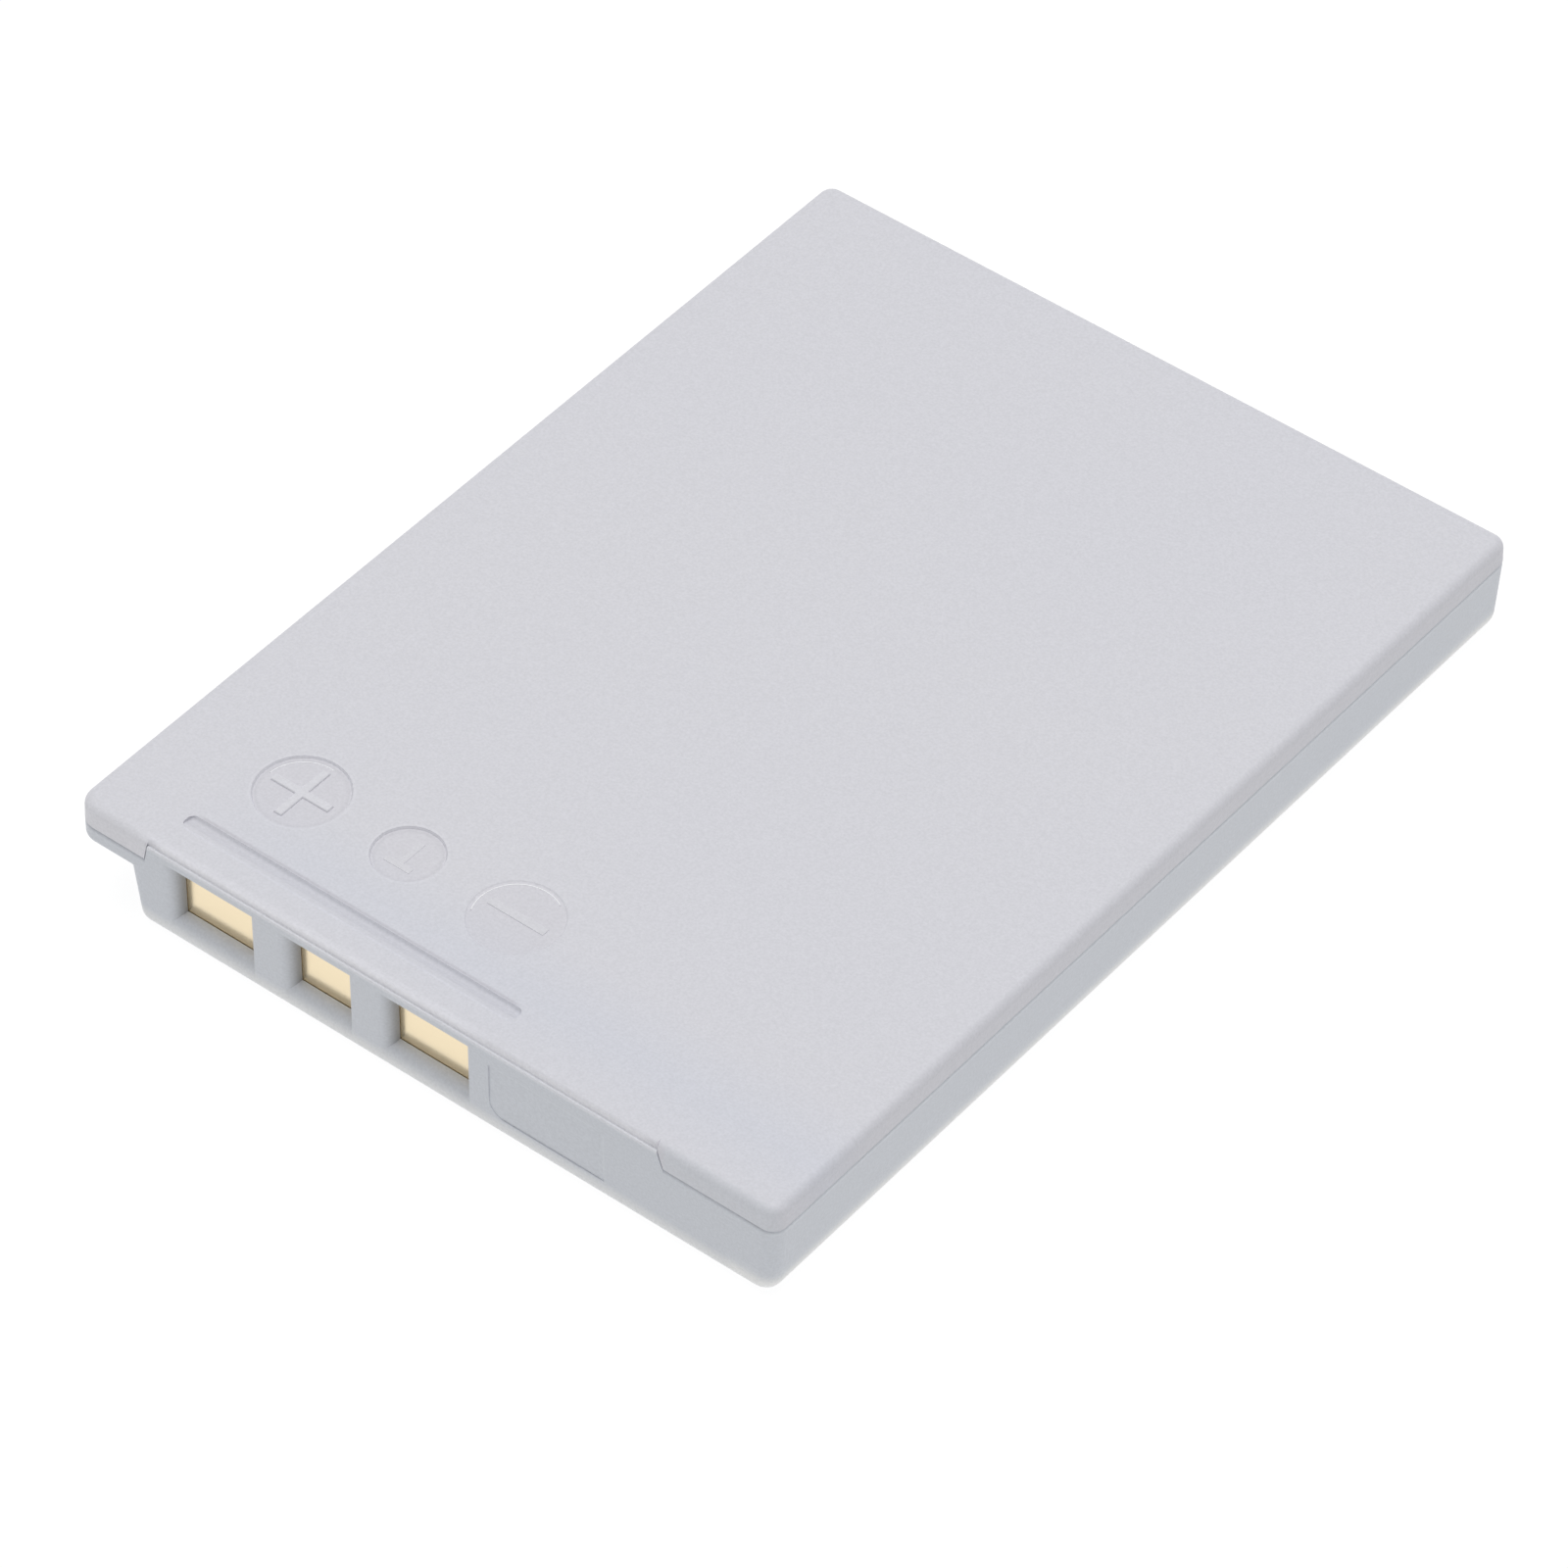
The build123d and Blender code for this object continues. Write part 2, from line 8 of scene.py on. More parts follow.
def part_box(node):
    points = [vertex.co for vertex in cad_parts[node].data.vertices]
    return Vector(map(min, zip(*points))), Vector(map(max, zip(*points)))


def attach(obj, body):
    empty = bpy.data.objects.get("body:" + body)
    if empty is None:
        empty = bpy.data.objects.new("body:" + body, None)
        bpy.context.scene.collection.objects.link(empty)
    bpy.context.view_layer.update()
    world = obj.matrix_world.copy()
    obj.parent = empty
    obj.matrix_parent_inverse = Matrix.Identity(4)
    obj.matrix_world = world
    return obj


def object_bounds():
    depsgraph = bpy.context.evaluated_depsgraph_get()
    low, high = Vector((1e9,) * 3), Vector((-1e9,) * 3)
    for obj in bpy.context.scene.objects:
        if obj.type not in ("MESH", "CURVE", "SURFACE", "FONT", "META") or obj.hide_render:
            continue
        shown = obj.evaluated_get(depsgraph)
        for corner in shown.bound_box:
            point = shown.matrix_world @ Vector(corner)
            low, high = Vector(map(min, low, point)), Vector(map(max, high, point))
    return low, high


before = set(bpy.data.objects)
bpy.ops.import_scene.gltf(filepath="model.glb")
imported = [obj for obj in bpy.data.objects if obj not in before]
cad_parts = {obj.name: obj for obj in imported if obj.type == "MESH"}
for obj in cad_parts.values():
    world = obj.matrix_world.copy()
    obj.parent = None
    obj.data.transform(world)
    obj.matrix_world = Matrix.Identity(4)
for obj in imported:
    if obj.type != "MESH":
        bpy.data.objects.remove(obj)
cad_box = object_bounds()

# Lower case: a shallow tray with a guide rail along one side, injection moulded in pale grey
# plastic with a fine matt grain. Its grey drifts very slightly. The small tints on its edges follow
# the tones in the photo, and stand in for light and for finer roundings.
# The case's grey is a little cooler than the cover's as a painted tone of the light on its walls; both are
# the same plastic.
case_grey = (0.65, 0.668, 0.705, 1.0)
case_cool = (0.63, 0.655, 0.705, 1.0)
plastic_roughness = (0.45, 0.6)
grain_scale = 9000.0
grain_detail = 2.0
grain_height = 0.00002
grain_strength = 0.25
drift_scale = 55.0
drift_detail = 1.0
speckle_from = (0.25, 0.75)
speckle_to = (0.94, 1.06)
number_socket = "NodeSocketFloat"
vector_socket = "NodeSocketVector"


def new_group(name, inputs, outputs):
    """An empty node group with its named sockets, and its input and output nodes."""
    group = bpy.data.node_groups.new(name, "ShaderNodeTree")
    for socket, kind in inputs.items():
        group.interface.new_socket(socket, in_out="INPUT", socket_type=kind)
    for socket in outputs:
        group.interface.new_socket(socket, in_out="OUTPUT", socket_type=number_socket)
    return group, group.nodes.new("NodeGroupInput"), group.nodes.new("NodeGroupOutput")


def place_group(tree, group, values):
    """Places a node group in a material, with the material's own values."""
    placed = tree.nodes.new("ShaderNodeGroup")
    placed.node_tree = group
    for socket, value in values.items():
        placed.inputs[socket].default_value = value
    return placed


def new_finish(name, colour, roughness, metallic=0.0):
    """A plain Principled material, its node tree and its shader node."""
    finish = bpy.data.materials.new(name)
    finish.use_nodes = True
    shader = finish.node_tree.nodes["Principled BSDF"]
    shader.inputs["Base Color"].default_value = colour
    shader.inputs["Roughness"].default_value = roughness
    shader.inputs["Metallic"].default_value = metallic
    return finish, finish.node_tree, shader


def spread(tree, value, to_range, from_range=(0.0, 1.0)):
    """Maps a value that changes over the surface to another range."""
    ranged = tree.nodes.new("ShaderNodeMapRange")
    for socket, limit in zip(("From Min", "From Max", "To Min", "To Max"), from_range + to_range):
        ranged.inputs[socket].default_value = limit
    tree.links.new(value, ranged.inputs["Value"])
    return ranged.outputs["Result"]


def blend_colours(tree, factor, first, second):
    """A colour between two others, by a factor that changes over the surface."""
    blended = tree.nodes.new("ShaderNodeMix")
    blended.data_type = "RGBA"
    blended.inputs["A"].default_value = first
    blended.inputs["B"].default_value = second
    tree.links.new(factor, blended.inputs["Factor"])
    return blended.outputs["Result"]


def add_bump(tree, shader, relief, strength, height):
    """Fine relief in the shading, from a value that changes over the surface."""
    bump = tree.nodes.new("ShaderNodeBump")
    bump.inputs["Strength"].default_value = strength
    bump.inputs["Distance"].default_value = height
    tree.links.new(relief, bump.inputs["Height"])
    tree.links.new(bump.outputs["Normal"], shader.inputs["Normal"])


def dress(name, finish):
    """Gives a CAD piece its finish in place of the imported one."""
    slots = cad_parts[name].data.materials
    slots.clear()
    slots.append(finish)


mould_grain, grain_in, grain_out = new_group(
    "mould_grain", {"Grain Scale": number_socket, "Drift Scale": number_socket}, ("Grain", "Drift"))
grain_place = mould_grain.nodes.new("ShaderNodeTexCoord")
for cloud, detail in (("Grain", grain_detail), ("Drift", drift_detail)):
    noise = mould_grain.nodes.new("ShaderNodeTexNoise")
    noise.inputs["Detail"].default_value = detail
    mould_grain.links.new(grain_place.outputs["Object"], noise.inputs["Vector"])
    mould_grain.links.new(grain_in.outputs[f"{cloud} Scale"], noise.inputs["Scale"])
    mould_grain.links.new(noise.outputs["Fac"], grain_out.inputs[cloud])


def moulded_plastic(name, warm, cool):
    """Matt plastic with the mould's grain, a faint drift of colour and a slightly uneven sheen."""
    finish, tree, shader = new_finish(name, warm, max(plastic_roughness))
    grain = place_group(tree, mould_grain, {"Grain Scale": grain_scale, "Drift Scale": drift_scale})
    shade = tree.nodes.new("ShaderNodeHueSaturation")
    tree.links.new(blend_colours(tree, grain.outputs["Drift"], warm, cool), shade.inputs["Color"])
    tree.links.new(spread(tree, grain.outputs["Grain"], speckle_to, speckle_from), shade.inputs["Value"])
    tree.links.new(shade.outputs["Color"], shader.inputs["Base Color"])
    tree.links.new(spread(tree, grain.outputs["Grain"], plastic_roughness), shader.inputs["Roughness"])
    add_bump(tree, shader, grain.outputs["Grain"], grain_strength, grain_height)
    return finish


def operation_node(tree, kind, operation, values):
    """A node that works out one step; each value is a socket or a fixed number or vector."""
    node = tree.nodes.new(kind)
    node.operation = operation
    for socket, value in zip(node.inputs, values):
        if isinstance(value, bpy.types.NodeSocket):
            tree.links.new(value, socket)
        else:
            socket.default_value = value
    return node


def number_step(tree, operation, *values):
    """One step with numbers."""
    return operation_node(tree, "ShaderNodeMath", operation, values).outputs["Value"]


def vector_step(tree, operation, *values):
    """One step with vectors, which gives a number for a length or a dot product."""
    result = "Value" if operation in ("LENGTH", "DOT_PRODUCT") else "Vector"
    return operation_node(tree, "ShaderNodeVectorMath", operation, values).outputs[result]


zone_mask, zone_in, zone_out = new_group(
    "zone_mask",
    {"Centre": vector_socket, "Reach": vector_socket, "Softness": vector_socket, "Facing": vector_socket,
     "Sharpness": number_socket},
    ("Mask",))
zone_place = zone_mask.nodes.new("ShaderNodeTexCoord")
zone_surface = zone_mask.nodes.new("ShaderNodeNewGeometry")
zone_away = vector_step(zone_mask, "SUBTRACT", zone_place.outputs["Object"], zone_in.outputs["Centre"])
zone_away = vector_step(zone_mask, "ABSOLUTE", zone_away)
zone_inside = vector_step(zone_mask, "SUBTRACT", zone_in.outputs["Reach"], zone_away)
zone_inside = vector_step(zone_mask, "DIVIDE", zone_inside, zone_in.outputs["Softness"])
zone_inside = vector_step(zone_mask, "MAXIMUM", zone_inside, (0.0, 0.0, 0.0))
zone_inside = vector_step(zone_mask, "MINIMUM", zone_inside, (1.0, 1.0, 1.0))
zone_sides = zone_mask.nodes.new("ShaderNodeSeparateXYZ")
zone_mask.links.new(zone_inside, zone_sides.inputs["Vector"])
zone_turned = vector_step(zone_mask, "DOT_PRODUCT", zone_surface.outputs["Normal"], zone_in.outputs["Facing"])
zone_turned = number_step(zone_mask, "MAXIMUM", zone_turned, 0.0)
zone_amount = number_step(zone_mask, "POWER", zone_turned, zone_in.outputs["Sharpness"])
for side in "XYZ":
    zone_amount = number_step(zone_mask, "MULTIPLY", zone_amount, zone_sides.outputs[side])
zone_mask.links.new(zone_amount, zone_out.inputs["Mask"])

everywhere = (-0.1, 0.1)
far_fade = 0.01
facing_up = (0, 0, 1)
facing_right = (1, 0, 0)


def about(middle, half):
    """A span that reaches equally far to both sides of its middle."""
    return middle - half, middle + half


def tint_by_mask(finish, mask, tint):
    """Multiplies a finish's colour by a tint where the mask is 1."""
    tree = finish.node_tree
    base = tree.nodes["Principled BSDF"].inputs["Base Color"]
    tinted = tree.nodes.new("ShaderNodeMix")
    tinted.data_type = "RGBA"
    tinted.blend_type = "MULTIPLY"
    tinted.inputs["B"].default_value = tint
    tree.links.new(base.links[0].from_socket, tinted.inputs["A"])
    tree.links.new(mask, tinted.inputs["Factor"])
    tree.links.new(tinted.outputs["Result"], base)


def tint_zone(finish, tint, fade, x=everywhere, y=everywhere, z=everywhere, facing=facing_up, sharpness=0.0):
    """Tints a box that fades at its sides; above 0, sharpness keeps the tint to faces turned one way."""
    spans = (x, y, z)
    zone = place_group(finish.node_tree, zone_mask, {
        "Centre": [(low + high) / 2 for low, high in spans],
        "Reach": [(high - low) / 2 for low, high in spans],
        "Softness": fade,
        "Facing": facing,
        "Sharpness": sharpness,
    })
    tint_by_mask(finish, zone.outputs["Mask"], tint)


case_plastic = moulded_plastic("case_plastic", case_grey, case_cool)
case_low, case_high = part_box("bottom_case")

# Painted shade darkens the sides of the windows that face away from the rail.
jamb_painted_shade = (0.5, 0.5, 0.5, 1.0)
window_row = (-0.01301, 0.00319)
window_heights = (0.0009, 0.0043)
window_depths = (case_low.y - 0.00005, case_low.y + 0.00085)
jamb_fade = (0.0001, 0.0001, 0.0001)
jamb_sharpness = 3.5
tint_zone(case_plastic, jamb_painted_shade, jamb_fade, x=window_row, y=window_depths, z=window_heights,
          facing=facing_right, sharpness=jamb_sharpness)

# Painted light from the floor makes the wall paler above the foot all round, and higher up on the right long
# side.
foot_painted_light = (1.22, 1.19, 1.13, 1.0)
foot_heights = (0.0, 0.0011)
foot_fade = (far_fade, far_fade, 0.0004)
tint_zone(case_plastic, foot_painted_light, foot_fade, z=foot_heights)
right_foot_painted_light = (1.1, 1.09, 1.07, 1.0)
right_foot_side = about(case_high.x, 0.0025)
right_foot_heights = (0.0, 0.00144)
right_foot_fade = (0.0005, far_fade, 0.0006)
tint_zone(case_plastic, right_foot_painted_light, right_foot_fade, x=right_foot_side, z=right_foot_heights)
# A painted highlight runs along the rim of the right long side, just below the seam.
right_rim_painted_highlight = (1.12, 1.12, 1.11, 1.0)
right_rim_side = about(case_high.x, 0.0005)
right_rim_heights = (0.00343, 0.00387)
right_rim_fade = (0.0002, far_fade, 0.00015)
tint_zone(case_plastic, right_rim_painted_highlight, right_rim_fade, x=right_rim_side, z=right_rim_heights)

# A painted highlight runs along the top of the raised end wall, just below the cover's lip.
ledge_painted_highlight = (1.18, 1.15, 1.13, 1.0)
ledge_depths = about(case_low.y, 0.0003)
ledge_heights = about(case_high.z, 0.0002)
ledge_fade = (far_fade, 0.0001, 0.00015)
tint_zone(case_plastic, ledge_painted_highlight, ledge_fade, y=ledge_depths, z=ledge_heights)

# The blank panel beside the windows has a line of painted shade at its foot and left side, and a painted
# highlight at its right side and top.
panel_skin = about(case_low.y, 0.0002)
panel_foot_painted_shade = (0.84, 0.84, 0.85, 1.0)
panel_foot_run = (0.004, 0.0092)
panel_foot_line = about(0.00111, 0.00007)
panel_left_painted_shade = (0.89, 0.89, 0.9, 1.0)
panel_left_run = (0.0018, 0.0038)
panel_left_line = about(0.00357, 0.00007)
panel_edge_painted_highlight = (1.06, 1.06, 1.05, 1.0)
panel_right_run = (0.00125, 0.00365)
panel_right_line = about(0.00918, 0.00008)
panel_top_run = (0.0038, 0.009)
panel_top_line = about(0.00372, 0.00008)
level_line_fade = (0.0003, 0.0001, 0.00005)
upright_line_fade = (0.00005, 0.0001, 0.0002)
tint_zone(case_plastic, panel_foot_painted_shade, level_line_fade, x=panel_foot_run, y=panel_skin, z=panel_foot_line)
tint_zone(case_plastic, panel_left_painted_shade, upright_line_fade, x=panel_left_line, y=panel_skin,
          z=panel_left_run)
tint_zone(case_plastic, panel_edge_painted_highlight, upright_line_fade, x=panel_right_line, y=panel_skin,
          z=panel_right_run)
tint_zone(case_plastic, panel_edge_painted_highlight, level_line_fade, x=panel_top_run, y=panel_skin, z=panel_top_line)
dress("bottom_case", case_plastic)

# Double sided tape: two thin pads of soft white film, one below and one above the cell. They stick
# it to the mouldings, and keep it from rattling.
tape_white = (0.75, 0.75, 0.72, 1.0)
tape_roughness = 0.7
tape_crease_scale = 900.0
tape_crease_strength = 0.2
tape_crease_height = 0.00003
tape_film, tape_tree, tape_shader = new_finish("tape_film", tape_white, tape_roughness)
tape_place = tape_tree.nodes.new("ShaderNodeTexCoord")
tape_crease = tape_tree.nodes.new("ShaderNodeTexNoise")
tape_crease.inputs["Scale"].default_value = tape_crease_scale
tape_tree.links.new(tape_place.outputs["Object"], tape_crease.inputs["Vector"])
add_bump(tape_tree, tape_shader, tape_crease.outputs["Fac"], tape_crease_strength, tape_crease_height)
for pad in ("adhesive_pad_lower", "adhesive_pad_upper"):
    dress(pad, tape_film)

# Cell: a deep drawn aluminium can with a welded lid and a welded plug. Drawing leaves fine
# lines along the can, from the lid to the base.
can_colour = (0.78, 0.79, 0.8, 1.0)
can_roughness = (0.25, 0.5)
can_stretch = (3000, 60, 3000)
streak_detail = 3.0
drawn_streaks, streak_in, streak_out = new_group("drawn_streaks", {"Stretch": vector_socket}, ("Streak",))
streak_place = drawn_streaks.nodes.new("ShaderNodeTexCoord")
streak_map = drawn_streaks.nodes.new("ShaderNodeMapping")
streak_noise = drawn_streaks.nodes.new("ShaderNodeTexNoise")
streak_noise.inputs["Scale"].default_value = 1.0
streak_noise.inputs["Detail"].default_value = streak_detail
drawn_streaks.links.new(streak_place.outputs["Object"], streak_map.inputs["Vector"])
drawn_streaks.links.new(streak_in.outputs["Stretch"], streak_map.inputs["Scale"])
drawn_streaks.links.new(streak_map.outputs["Vector"], streak_noise.inputs["Vector"])
drawn_streaks.links.new(streak_noise.outputs["Fac"], streak_out.inputs["Streak"])


def drawn_metal(name, colour, roughness, stretch):
    """Metal whose roughness runs in streaks, from drawing or rolling."""
    finish, tree, shader = new_finish(name, colour, max(roughness), metallic=1.0)
    streaks = place_group(tree, drawn_streaks, {"Stretch": stretch})
    tree.links.new(spread(tree, streaks.outputs["Streak"], roughness), shader.inputs["Roughness"])
    return finish


can_aluminium = drawn_metal("can_aluminium", can_colour, can_roughness, can_stretch)
for welded in ("cell", "fill_plug"):
    dress(welded, can_aluminium)

# Terminal: a nickel plated rivet through a white plastic gasket, with nickel strips welded to
# it and to the can. Rolled strip has fine lines along its length.
nickel_colour = (0.68, 0.66, 0.62, 1.0)
nickel_roughness = (0.2, 0.4)
nickel_stretch = (80, 2500, 2500)
nickel = drawn_metal("nickel", nickel_colour, nickel_roughness, nickel_stretch)
for strip in ("terminal_rivet", "positive_tab", "negative_tab", "fuse_lead"):
    dress(strip, nickel)

gasket_colour = (0.78, 0.78, 0.75, 1.0)
gasket_roughness = 0.4
gasket_grain_scale = 6000.0
gasket_grain_strength = 0.1
gasket_white, gasket_tree, gasket_shader = new_finish("gasket_white", gasket_colour, gasket_roughness)
gasket_grain = place_group(gasket_tree, mould_grain, {"Grain Scale": gasket_grain_scale})
add_bump(gasket_tree, gasket_shader, gasket_grain.outputs["Grain"], gasket_grain_strength, grain_height)
dress("terminal_gasket", gasket_white)

# Lid insulator: a strip of pressed grey green paper, with visible fibres. It lies over the can's
# lid and keeps the strips there from touching the can.
paper_dark = (0.36, 0.42, 0.34, 1.0)
paper_light = (0.5, 0.55, 0.46, 1.0)
paper_roughness = 0.9
paper_stretch = (900, 2500, 4500)
pressed_paper, paper_tree, paper_shader = new_finish("pressed_paper", paper_light, paper_roughness)
paper_fibres = place_group(paper_tree, drawn_streaks, {"Stretch": paper_stretch})
paper_colour = blend_colours(paper_tree, paper_fibres.outputs["Streak"], paper_dark, paper_light)
paper_tree.links.new(paper_colour, paper_shader.inputs["Base Color"])
dress("end_insulator", pressed_paper)

# Thermal fuse: a flat polymer fuse sealed in amber film, which is slightly cloudy. It lies on the
# lid, between the rivet's strip and the lead to the board.
amber_dark = (0.5, 0.3, 0.05, 1.0)
amber_light = (0.68, 0.46, 0.12, 1.0)
amber_roughness = 0.25
amber_cloud_scale = 700.0
amber_film, amber_tree, amber_shader = new_finish("amber_film", amber_light, amber_roughness)
amber_cloud = place_group(amber_tree, mould_grain, {"Drift Scale": amber_cloud_scale})
amber_colour = blend_colours(amber_tree, amber_cloud.outputs["Drift"], amber_dark, amber_light)
amber_tree.links.new(amber_colour, amber_shader.inputs["Base Color"])
dress("thermal_fuse", amber_film)

# Protection board: glass fibre laminate under green solder mask, through which the weave shows.
# It stands behind the end wall, held by ribs of the lower case.
mask_green = (0.02, 0.16, 0.06, 1.0)
mask_pale = (0.035, 0.22, 0.09, 1.0)
mask_roughness = 0.3
mask_weave_scale = 3000.0
solder_mask, mask_tree, mask_shader = new_finish("solder_mask", mask_green, mask_roughness)
mask_place = mask_tree.nodes.new("ShaderNodeTexCoord")
mask_weave = mask_tree.nodes.new("ShaderNodeTexChecker")
mask_weave.inputs["Color1"].default_value = mask_green
mask_weave.inputs["Color2"].default_value = mask_pale
mask_weave.inputs["Scale"].default_value = mask_weave_scale
mask_tree.links.new(mask_place.outputs["Object"], mask_weave.inputs["Vector"])
mask_tree.links.new(mask_weave.outputs["Color"], mask_shader.inputs["Base Color"])
dress("circuit_board", solder_mask)

# Soldered parts: two chips in black epoxy with tinned leads, and small ceramic blocks with
# tinned ends. Each is tinned beyond its body, along one axis of the board.
epoxy_black = (0.02, 0.02, 0.021, 1.0)
ceramic_tan = (0.36, 0.25, 0.15, 1.0)
tin_bright = (0.72, 0.72, 0.7, 1.0)
soldered_roughness = 0.45


def tinned_part(name, node, body_colour, axis, body_share):
    """Body colour in the middle of the piece and bright tin at both ends of one axis."""
    low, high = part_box(node)
    finish, tree, shader = new_finish(name, body_colour, soldered_roughness)
    place = tree.nodes.new("ShaderNodeTexCoord")
    split = tree.nodes.new("ShaderNodeSeparateXYZ")
    tree.links.new(place.outputs["Object"], split.inputs["Vector"])
    row = "XYZ".index(axis)
    middle = (low[row] + high[row]) / 2
    body_half = body_share * (high[row] - low[row]) / 2
    away = number_step(tree, "SUBTRACT", split.outputs[axis], middle)
    away = number_step(tree, "ABSOLUTE", away)
    tinned = number_step(tree, "GREATER_THAN", away, body_half)
    tree.links.new(blend_colours(tree, tinned, body_colour, tin_bright), shader.inputs["Base Color"])
    tree.links.new(tinned, shader.inputs["Metallic"])
    dress(node, finish)


tinned_part("protection_chip_finish", "protection_chip", epoxy_black, axis="Z", body_share=0.57)
tinned_part("mosfet_finish", "mosfet_pair", epoxy_black, axis="X", body_share=0.69)
tinned_part("resistor_finish", "chip_resistors", epoxy_black, axis="Z", body_share=0.55)
tinned_part("capacitor_finish", "chip_capacitors", ceramic_tan, axis="Z", body_share=0.55)
tinned_part("thermistor_finish", "thermistor", ceramic_tan, axis="X", body_share=0.55)

# Contact plates: copper alloy plates with bright gold over nickel, soldered to the board. They
# are nearly mirrors, so each shows its window's walls, and the plating is faintly uneven.
gold_colour = (0.885, 0.75, 0.52, 1.0)
gold_roughness = (0.12, 0.26)
gold_cloud_scale = 7000.0
gold_plating, gold_tree, gold_shader = new_finish(
    "gold_plating", gold_colour, max(gold_roughness), metallic=1.0)
gold_cloud = place_group(gold_tree, mould_grain, {"Grain Scale": gold_cloud_scale})
gold_polish = spread(gold_tree, gold_cloud.outputs["Grain"], gold_roughness)
gold_tree.links.new(gold_polish, gold_shader.inputs["Roughness"])
for contact in ("contact_plus", "contact_thermistor", "contact_minus"):
    dress(contact, gold_plating)

# Top cover: the shallow lid, moulded in the same plastic and joined to the lower case all round.
# A thin lip reaches over the end wall, with a skirt on each side of it. As on the case, its tints
# follow the tones in the photo and stand in for light and finer roundings.
cover_grey = (0.674, 0.668, 0.702, 1.0)
cover_cool = (0.66, 0.658, 0.704, 1.0)
cover_plastic = moulded_plastic("cover_plastic", cover_grey, cover_cool)
cover_low, cover_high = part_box("top_cover")


def behind_front(near, far):
    """A span of the cover, measured back from its front edge."""
    return cover_low.y + near, cover_low.y + far


# Painted shade makes the top slightly darker and bluer near the contact end.
front_painted_shade = (0.965, 0.979, 1.0, 1.0)
front_cool_width = (-0.014, 0.023)
front_cool_band = behind_front(0.0001, 0.0059)
front_cool_fade = (0.006, 0.0027, far_fade)
tint_zone(cover_plastic, front_painted_shade, front_cool_fade, x=front_cool_width, y=front_cool_band)

# Painted light makes the lip's front paler than the top, and a painted highlight lies on the left part of its
# upper edge.
facing_front = (0, -1, 0)
lip_depths = behind_front(-0.0003, 0.0005)
lip_painted_light = (1.22, 1.22, 1.2, 1.0)
lip_run = (-0.01371, 0.01179)
lip_heights = (0.0044, 0.005)
lip_fade = (0.0008, 0.0001, 0.00005)
lip_sharpness = 2.2
tint_zone(cover_plastic, lip_painted_light, lip_fade, x=lip_run, y=lip_depths, z=lip_heights,
          facing=facing_front, sharpness=lip_sharpness)
lip_edge_painted_highlight = (1.12, 1.12, 1.12, 1.0)
lip_edge_run = (-0.0145, 0.0035)
lip_edge_heights = (0.00462, 0.00502)
lip_edge_facing = (0, -0.707, 0.707)
lip_edge_fade = (0.0015, 0.0001, 0.00005)
lip_edge_sharpness = 3.0
tint_zone(cover_plastic, lip_edge_painted_highlight, lip_edge_fade, x=lip_edge_run, y=lip_depths, z=lip_edge_heights,
          facing=lip_edge_facing, sharpness=lip_edge_sharpness)

# The skirt's front ends, on each side of the lip: painted light on the left one, and a faint cool painted
# light on the right one.
skirt_heights = (0.0037, 0.0049)
skirt_fade = (0.0002, 0.0002, 0.0001)
skirt_sharpness = 1.0
skirt_right_painted_cool_light = (0.985, 1.01, 1.01, 1.0)
skirt_right_run = (0.012, 0.018)
skirt_right_depths = behind_front(-0.0006, 0.0006)
tint_zone(cover_plastic, skirt_right_painted_cool_light, skirt_fade, x=skirt_right_run, y=skirt_right_depths,
          z=skirt_heights, facing=facing_front, sharpness=skirt_sharpness)
skirt_left_painted_light = (1.1, 1.1, 1.09, 1.0)
skirt_left_run = (-0.0177, -0.0137)
skirt_left_depths = behind_front(-0.0012, 0.0012)
tint_zone(cover_plastic, skirt_left_painted_light, skirt_fade, x=skirt_left_run, y=skirt_left_depths,
          z=skirt_heights, facing=facing_front, sharpness=skirt_sharpness)

# The thumbnail groove: painted shade on its floor and on the edge behind it, and a painted highlight on the
# strip before it.
groove_run = (-0.0133, 0.0035)
top_skin = about(cover_high.z, 0.00005)
groove_painted_shade = (0.915, 0.915, 0.92, 1.0)
groove_floor = behind_front(0.00172, 0.00232)
groove_depths = (cover_high.z - 0.0003, cover_high.z - 0.00002)
groove_fade = (0.0001, 0.00005, 0.00006)
groove_sharpness = 5.0
tint_zone(cover_plastic, groove_painted_shade, groove_fade, x=groove_run, y=groove_floor, z=groove_depths,
          sharpness=groove_sharpness)
groove_edge_painted_shade = (0.84, 0.83, 0.84, 1.0)
groove_edge_run = (-0.01305, 0.00325)
groove_edge = behind_front(0.0022, 0.00244)
groove_edge_fade = (0.0003, 0.0001, 0.00003)
groove_edge_sharpness = 8.0
tint_zone(cover_plastic, groove_edge_painted_shade, groove_edge_fade, x=groove_edge_run, y=groove_edge, z=top_skin,
          sharpness=groove_edge_sharpness)
groove_near_painted_highlight = (1.03, 1.03, 1.04, 1.0)
groove_near = behind_front(0.00139, 0.00155)
groove_near_fade = (0.0003, 0.00005, 0.00003)
tint_zone(cover_plastic, groove_near_painted_highlight, groove_near_fade, x=groove_run, y=groove_near, z=top_skin)
dress("top_cover", cover_plastic)

# Polarity signs: raised strokes moulded into the cover, one in each round recess above its
# contact. They stand on the floor of the recess and stay just below the top face. The T and the
# minus hardly show in the photo, so their plastic is close to the cover's.
sign_row_back = 0.00583
sign_row_y = cover_low.y + sign_row_back
plus_x = -0.0108
thermistor_x = -0.00536
minus_x = 0.00008
plus_depth = 0.0001
thermistor_depth = 0.00011
minus_depth = 0.000035
plus_height = 0.00008
thermistor_height = 0.00002
minus_height = 0.00003
stroke_width = 0.0004
thermistor_stroke = 0.0003
stroke_round = 0.8
stroke_round_steps = 3
plus_arm = 0.00127
minus_arm = 0.0012
minus_back = 0.0001
thermistor_bar = 0.0005
thermistor_stem = 0.0013
thermistor_front = 0.0006
